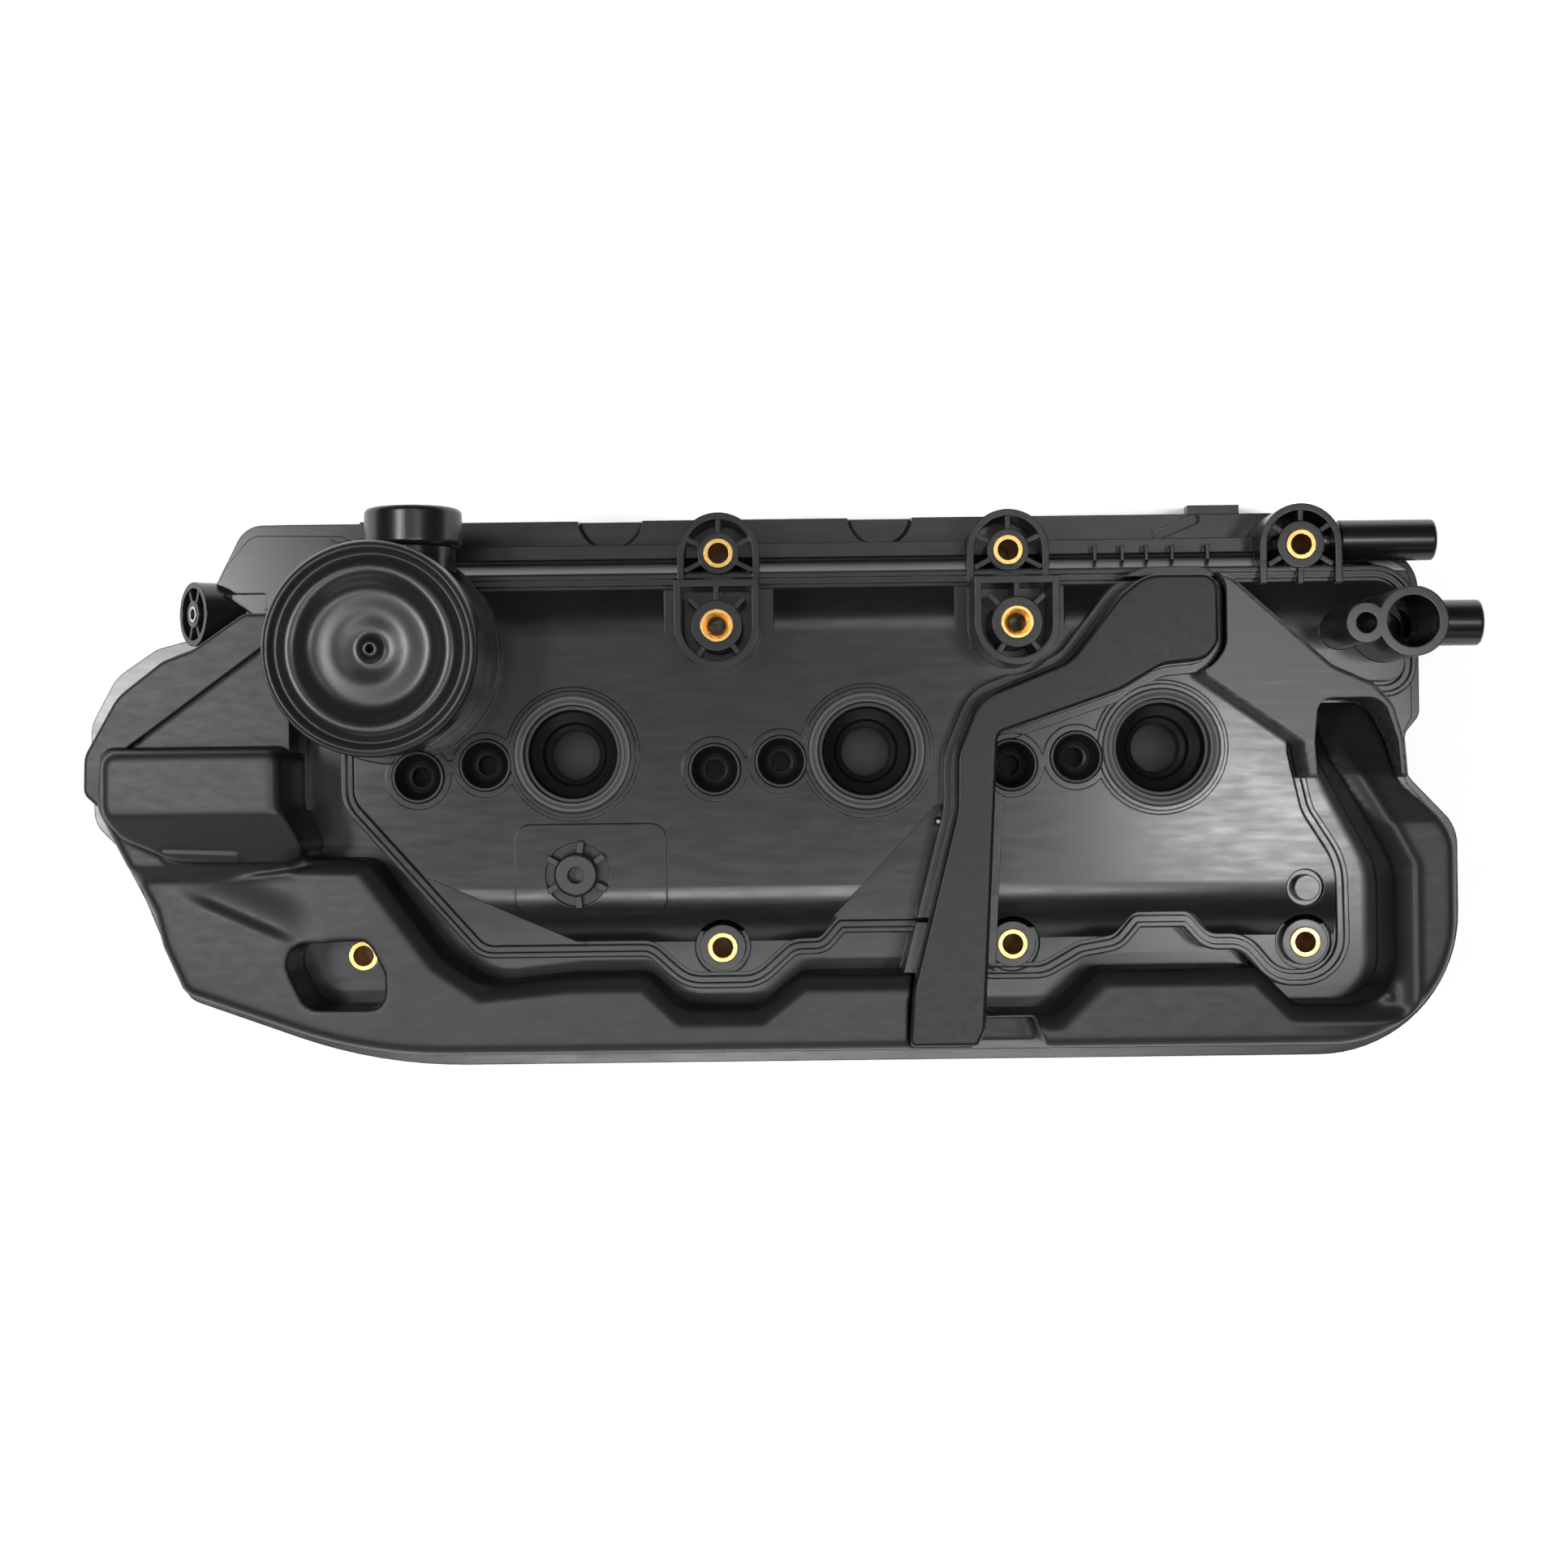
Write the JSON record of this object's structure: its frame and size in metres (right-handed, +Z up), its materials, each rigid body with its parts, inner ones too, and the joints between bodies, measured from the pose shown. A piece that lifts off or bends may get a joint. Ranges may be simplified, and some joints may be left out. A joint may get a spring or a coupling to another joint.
{
  "type": "cylinder head cover",
  "caption": "Moulded cam cover for one bank of an engine: glossy raised deck with injector wells, welded oil separator and duct, round pressure-valve cap, brass sleeves and hose stubs.",
  "frame": {"origin": "on the gasket plane, on the axis of the middle injector bore", "axes": "+X along the row of injector bores towards the hose stubs, +Y towards the breather outlet side, +Z up out of the gasket plane"},
  "size_m": [0.4334, 0.1751, 0.0795],
  "materials": {
    "gloss_black": "moulded glass-filled nylon, semi-gloss black",
    "matte_black": "fine satin black, soft moulded edges",
    "bridge_plastic": "satin black with fine streaks along its length",
    "matte_grey": "satin dark grey-green",
    "cap_plastic": "satin gloss black",
    "port_plastic": "gloss black",
    "inner_plastic": "plain moulded",
    "clip_plastic": "moulded",
    "rubber_black": "moulded rubber",
    "grommet_rubber": "moulded rubber, satin",
    "gasket_rubber": "moulded rubber",
    "seal_ring": "warm brown-grey, smooth",
    "brass": "turned",
    "spring_steel": "drawn wire or zinc plated"
  },
  "bodies": {
    "cover": {"cover_shell": "gloss_black", "reservoir_shell": "matte_black", "separator_end_box": "matte_black", "crossover_bridge": "bridge_plastic", "channel_lid": "matte_grey", "pcv_housing": "gloss_black", "pcv_cap": "cap_plastic", "pcv_diaphragm": "rubber_black", "pcv_spring": "spring_steel", "breather_outlet": "port_plastic", "breather_outlet_seal": "rubber_black", "bolt_sleeves": "brass", "tower_inserts": "brass", "perimeter_gasket": "gasket_rubber", "well_gaskets": "gasket_rubber", "baffle_plates": "inner_plastic", "baffle_screws": "spring_steel", "impactor_plate": "inner_plastic", "cyclone_pack": "inner_plastic", "bypass_cage": "inner_plastic", "bypass_spring": "spring_steel", "drain_tube": "inner_plastic", "pipe_upper": "port_plastic", "pipe_lower": "port_plastic", "harness_clip": "clip_plastic", "lug_bush": "spring_steel", "injector_seal_ring_1": "seal_ring", "injector_seal_1": "rubber_black", "clamp_grommet_1": "grommet_rubber", "leakoff_grommet_1": "grommet_rubber", "injector_seal_ring_2": "seal_ring", "injector_seal_2": "rubber_black", "clamp_grommet_2": "grommet_rubber", "leakoff_grommet_2": "grommet_rubber", "injector_seal_ring_3": "seal_ring", "injector_seal_3": "rubber_black", "clamp_grommet_3": "grommet_rubber", "leakoff_grommet_3": "grommet_rubber"},
    "pcv_plunger_body": {"pcv_plunger": "inner_plastic"},
    "bypass_valve_body": {"bypass_valve_disc": "rubber_black"},
    "drain_check_body": {"drain_check_disc": "rubber_black"}
  },
  "joints": [
    {"name": "pcv_plunger_slide", "type": "slide", "parent": "cover", "child": "pcv_plunger_body", "axis": [0, 0, 1], "range_m": [-0.003, 0], "stiffness_N_per_m": 150, "springref_m": 0.015, "deforming": ["pcv_spring", "pcv_diaphragm"]},
    {"name": "bypass_valve_slide", "type": "slide", "parent": "cover", "child": "bypass_valve_body", "axis": [0, 0, 1], "range_m": [0, 0.003], "stiffness_N_per_m": 120, "springref_m": -0.008, "deforming": ["bypass_spring"]},
    {"name": "drain_check_slide", "type": "slide", "parent": "cover", "child": "drain_check_body", "axis": [0, 0, 1], "range_m": [0, 0.0016]}
  ]
}
